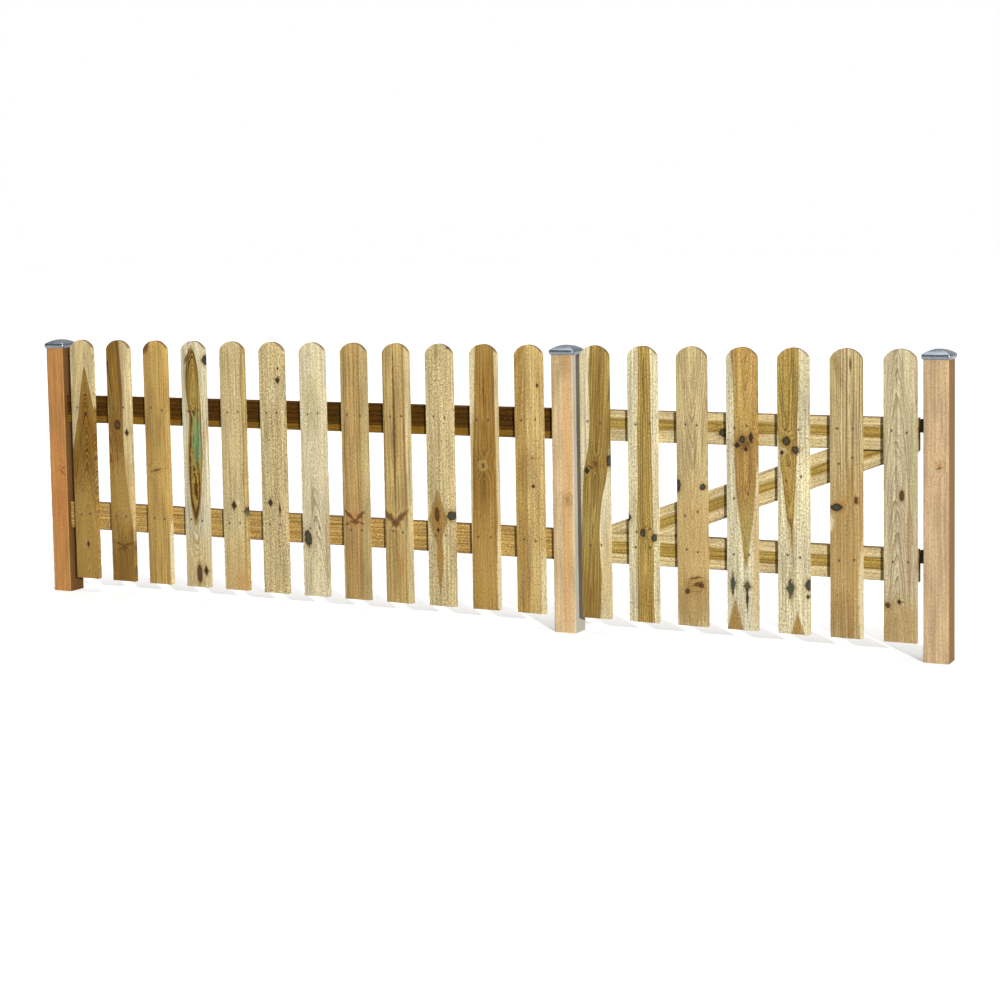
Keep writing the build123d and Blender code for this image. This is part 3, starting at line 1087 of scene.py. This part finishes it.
# Height above the rim's foot in millimetres, and half width as a share of the widest.
CAP_PROFILE = (
    (0.0, 0.915), (1.8, 0.962), (5.0, 0.993), (9.0, 1.0), (12.6, 0.985), (15.0, 0.945), (16.4, 0.895),
    (19.2, 0.785), (22.4, 0.64), (25.2, 0.47), (27.1, 0.29), (27.9, 0.12),
)
heights = [cap_low.z + mm / MM_PER_M for mm, share in CAP_PROFILE]
widths = [CAP_HALF * share for mm, share in CAP_PROFILE]
slab_height = heights[1] - heights[0]
cap = add_box("cap", (0, 0, heights[0] + slab_height / 2), (2 * widths[0], 2 * widths[0], slab_height))
select_faces(cap.data, lambda face: False)
for edge in cap.data.edges:
    start, end = (cap.data.vertices[i].co for i in edge.vertices)
    edge.select = abs(start.z - end.z) > slab_height / 2
bpy.ops.object.mode_set(mode="EDIT")
bpy.ops.mesh.select_mode(type="EDGE")
bpy.ops.mesh.bevel(offset=CAP_CORNER, segments=5, profile=0.5)
bpy.ops.object.mode_set(mode="OBJECT")
print("slab:", len(cap.data.polygons), "faces")

# %% [markdown]
# ## Rim and roof
# The top face is extruded in steps that follow the rim and then the roof, each narrowed or widened to the
# profile. The underside is inset and pushed up, which leaves the socket that the post stands in.

# %% Raise the roof and sink the socket
post_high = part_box("middle_post")[1]
SOCKET_CLEARANCE = 0.0004
SEAT_CLEARANCE = 0.0002
METAL_SMOOTHING = math.radians(35)
select_faces(cap.data, lambda face: face.normal.z > 0.9)
bpy.ops.object.mode_set(mode="EDIT")
bpy.ops.mesh.select_mode(type="FACE")
bpy.ops.transform.resize(value=[widths[1] / widths[0]] * 2 + [1], center_override=(0, 0, 0))
for number in range(2, len(CAP_PROFILE)):
    rise = heights[number] - heights[number - 1]
    share = widths[number] / widths[number - 1]
    bpy.ops.mesh.extrude_region_move(TRANSFORM_OT_translate={"value": (0, 0, rise)})
    bpy.ops.transform.resize(value=(share, share, 1), center_override=(0, 0, 0))
bpy.ops.object.mode_set(mode="OBJECT")
select_faces(cap.data, lambda face: face.normal.z < -0.9)
bpy.ops.object.mode_set(mode="EDIT")
bpy.ops.mesh.inset(thickness=widths[0] - post_high.y - SOCKET_CLEARANCE)
socket = post_high.z + SEAT_CLEARANCE - heights[0]
bpy.ops.mesh.extrude_region_move(TRANSFORM_OT_translate={"value": (0, 0, socket)})
bpy.ops.mesh.select_all(action="SELECT")
bpy.ops.mesh.normals_make_consistent(inside=False)
bpy.ops.object.mode_set(mode="OBJECT")
bpy.ops.object.shade_smooth_by_angle(angle=METAL_SMOOTHING)
print("cap:", len(cap.data.polygons), "faces, top", round(max(v.co.z for v in cap.data.vertices), 4))

# %% Put a cap on each post
for post in POST_GRAIN:
    low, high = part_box(post)
    place = Matrix.Translation(((low.x + high.x) / 2, 0, 0))
    fitted = copy_piece(cap, f"{post}_pressed_cap", place)
    fitted.data.materials.append(zinc)
    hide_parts(f"{post}_cap")
    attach(fitted, "posts_and_fence")
bpy.data.objects.remove(cap)
print("caps fitted:", len(POST_GRAIN))

# %% [markdown]
# ## Nail steel
# The pickets are held by galvanised nails that have dulled outdoors. Where the hammer broke the zinc, rust
# shows in small specks. One noise decides both where the rust is and where the metal is rougher.

# %% Galvanised nail steel
RUST_SPECK_MM = 1.5


def nail_steel():
    """Zinc-coated nail: dull dark grey metal, rusting in specks where the hammer broke it."""
    material, tree = new_material("galvanised_nail")
    place = add_node(tree, "TexCoord", {}).outputs["Object"]
    specks = add_node(tree, "TexNoise", {"Vector": place, "Scale": MM_PER_M / RUST_SPECK_MM, "Detail": 2.0})
    rusty = add_node(tree, "MapRange", {"Value": specks, "From Min": 0.45, "From Max": 0.6})
    tone = add_node(tree, "Mix", {0: rusty, 6: linear("#54524c"), 7: linear("#3a2818")}, data_type="RGBA")
    dull = add_node(tree, "MapRange", {"Value": specks, "To Min": 0.45, "To Max": 0.8})
    shader = add_node(tree, "BsdfPrincipled", {"Base Color": tone, "Metallic": 0.7, "Roughness": dull})
    add_node(tree, "OutputMaterial", {"Surface": shader})
    return material


rusty_nail = nail_steel()
print("rust specks:", RUST_SPECK_MM, "mm")

# %% [markdown]
# ## Nails and screws
# A nail head is a flat disc driven level with the wood, its rim a little proud. A screw head is a low dome
# with a socket. Each is a short cylinder whose outer face is inset and moved, modelled once and copied to
# every place, and the copies on one body are joined, because they move together.

# %% Model one fixing and copy it
HEAD_SIDES = 12


def round_head(name, radius, depth, insets):
    """A short cylinder along -Y, its outer face inset and moved in steps of (inset, move outwards)."""
    bpy.ops.object.select_all(action="DESELECT")
    bpy.ops.mesh.primitive_cylinder_add(
        vertices=HEAD_SIDES, radius=radius, depth=depth, rotation=(math.pi / 2, 0, 0)
    )
    head = bpy.context.object
    head.name = name
    bpy.ops.object.transform_apply(location=True, rotation=True, scale=True)
    select_faces(head.data, lambda face: face.normal.y < -0.9)
    bpy.ops.object.mode_set(mode="EDIT")
    bpy.ops.mesh.select_mode(type="FACE")
    for inset, outwards in insets:
        bpy.ops.mesh.inset(thickness=inset)
        bpy.ops.transform.translate(value=(0, -outwards, 0))
    bpy.ops.object.mode_set(mode="OBJECT")
    bpy.ops.object.shade_smooth_by_angle(angle=METAL_SMOOTHING)
    return head


def set_heads(head, name, places, material, body):
    """Copies a head to each place, given as a matrix, joins the copies and hands them to their body."""
    copies = [copy_piece(head, name, place) for place in places]
    bpy.ops.object.select_all(action="DESELECT")
    for copy in copies:
        copy.select_set(True)
    bpy.context.view_layer.objects.active = copies[0]
    bpy.ops.object.join()
    joined = bpy.context.object
    joined.data.materials.append(material)
    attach(joined, body)
    print(name, len(places), "heads,", len(joined.data.polygons), "faces")


# %% Nails
NAIL_RADIUS = 0.0025
NAIL_DEPTH = 0.0016
NAIL_SUNK = 0.0004
NAIL_FACE = [(0.0005, 0.00015), (0.0006, -0.0001)]
NAIL_ROWS = {"fence_nails": (fence_nails, "posts_and_fence"), "leaf_nails": (leaf_nails, "gate_leaf")}
nail = round_head("nail", NAIL_RADIUS, NAIL_DEPTH, NAIL_FACE)
for name, (rows, body) in NAIL_ROWS.items():
    places = [Matrix.Translation((x, PICKET_FRONT + NAIL_SUNK, z)) for row in rows for x, z in row]
    set_heads(nail, name, places, rusty_nail, body)
bpy.data.objects.remove(nail)

# %% [markdown]
# ## Hinge screws
# Four screws hold each strap to its rail, and two hold each plate to the post. They stand on the steel, so
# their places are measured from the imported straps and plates, and the heads are turned to face away from
# what they are driven into: the straps' to the back, and the plates' towards the leaf.

# %% Hinge screws
SCREW_RADIUS = 0.0045
SCREW_DEPTH = 0.002
SCREW_FACE = [(0.0008, 0.0006), (0.0012, 0.0004), (0.0004, -0.0009)]
SCREW_PROUD = 0.0005
STRAP_SCREWS = (0.028, 0.100, 0.172, 0.244)
PLATE_SCREW_INSET = 0.012
STEEL = 0.004
TO_THE_BACK = Matrix.Rotation(math.pi, 4, "Z")
TO_THE_LEAF = Matrix.Rotation(-math.pi / 2, 4, "Z")
screw = round_head("screw", SCREW_RADIUS, SCREW_DEPTH, SCREW_FACE)
strap_places = []
plate_places = []
for level in RAILS:
    low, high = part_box(f"{level}_hinge_strap")
    for reach in STRAP_SCREWS:
        place = (low.x + reach, rail_high.y + STEEL + SCREW_PROUD, (low.z + high.z) / 2)
        strap_places.append(Matrix.Translation(place) @ TO_THE_BACK)
    low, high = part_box(f"{level}_hinge_pintle")
    for height in (low.z + PLATE_SCREW_INSET, high.z - PLATE_SCREW_INSET):
        place = (high.x - STEEL - SCREW_PROUD, (low.y + high.y) / 2, height)
        plate_places.append(Matrix.Translation(place) @ TO_THE_LEAF)
set_heads(screw, "strap_screws", strap_places, black_steel, "gate_leaf")
set_heads(screw, "plate_screws", plate_places, black_steel, "posts_and_fence")
bpy.data.objects.remove(screw)

# %% [markdown]
# ## Floor
# The gate stands on a plain pale floor that runs on out of sight. A floor this bright would light the
# boards from below, which a picture cut out on white doesn't show, so the boards' shading leaves it out.

# %% Floor
FLOOR_SIZE = 120
FLOOR_MIDDLE = (0, 20, 0)
bpy.ops.object.select_all(action="DESELECT")
bpy.ops.mesh.primitive_plane_add(size=FLOOR_SIZE, location=FLOOR_MIDDLE)
floor = bpy.context.object
floor.name = "studio_floor"
floor_paint, floor_tree = new_material("pale_floor")
floor_shader = add_node(floor_tree, "BsdfPrincipled", {"Base Color": linear("#f8f8f7"), "Roughness": 0.9})
add_node(floor_tree, "OutputMaterial", {"Surface": floor_shader})
floor.data.materials.append(floor_paint)
floor.visible_diffuse = False
print("floor:", FLOOR_SIZE, "m wide")

# %% [markdown]
# ## Lights
# The main light is a small lamp far to the right of the camera, so each picket throws a narrow shadow on
# the rail at its left. A lamp fades with distance, which would leave the far post dark, so this one is
# given the same strength everywhere. A wide light overhead brightens the floor and the tops of the caps.

# %% Lamp and overhead light
LAMP_PLACE = (8.5, -9.0, 3.2)
LAMP_RADIUS = 0.3
LAMP_POWER = 59
OVERHEAD_STRENGTH = 2.6
OVERHEAD_SPREAD = math.radians(70)
bpy.ops.object.light_add(type="POINT", location=LAMP_PLACE, radius=LAMP_RADIUS)
main_light = bpy.context.object
main_light.name = "main_light"
main_light.data.energy = LAMP_POWER
main_light.data.use_nodes = True
lamp = main_light.data.node_tree
even = add_node(lamp, "LightFalloff", {"Strength": 1.0})
lamp.links.new(even.outputs["Constant"], lamp.nodes["Emission"].inputs["Strength"])

bpy.ops.object.light_add(type="SUN", location=(0, 0, 6))
top_light = bpy.context.object
top_light.name = "top_light"
top_light.data.energy = OVERHEAD_STRENGTH
top_light.data.angle = OVERHEAD_SPREAD
print("lights:", main_light.name, top_light.name)

# %% [markdown]
# ## Surround
# A dim surround fills the shadows. It is dimmer on the right, so that the posts' right sides stay darker,
# and brighter at the back, which lights the rails' hidden faces. The camera itself sees it as white.

# %% Surround
FILL_LEFT = 0.24
FILL_RIGHT = 0.05
FILL_BACK = 0.5
world = bpy.data.worlds.new("pale_surround")
world.use_nodes = True
bpy.context.scene.world = world
sky = world.node_tree
sky.nodes.clear()
towards = add_node(sky, "SeparateXYZ", {"Vector": add_node(sky, "TexCoord", {}).outputs["Generated"]}).outputs
left_right = {"From Min": -0.4, "From Max": 0.8, "To Min": FILL_LEFT, "To Max": FILL_RIGHT}
dim = add_node(sky, "MapRange", {"Value": towards["X"], **left_right})
from_behind = {"From Min": 0.0, "From Max": 0.8, "To Max": FILL_BACK}
back = add_node(sky, "MapRange", {"Value": towards["Y"], **from_behind})
dim = add_node(sky, "Math", {0: dim, 1: back}, operation="ADD")
seen = add_node(sky, "LightPath", {}).outputs["Is Camera Ray"]
level = add_node(sky, "Math", {0: dim, 1: seen}, operation="MAXIMUM")
surround = add_node(sky, "Background", {"Color": (1, 1, 1, 1), "Strength": level})
add_node(sky, "OutputWorld", {"Surface": surround})
bpy.context.scene.view_settings.view_transform = "Standard"
print("surround:", FILL_LEFT, "on the left,", FILL_RIGHT, "on the right")
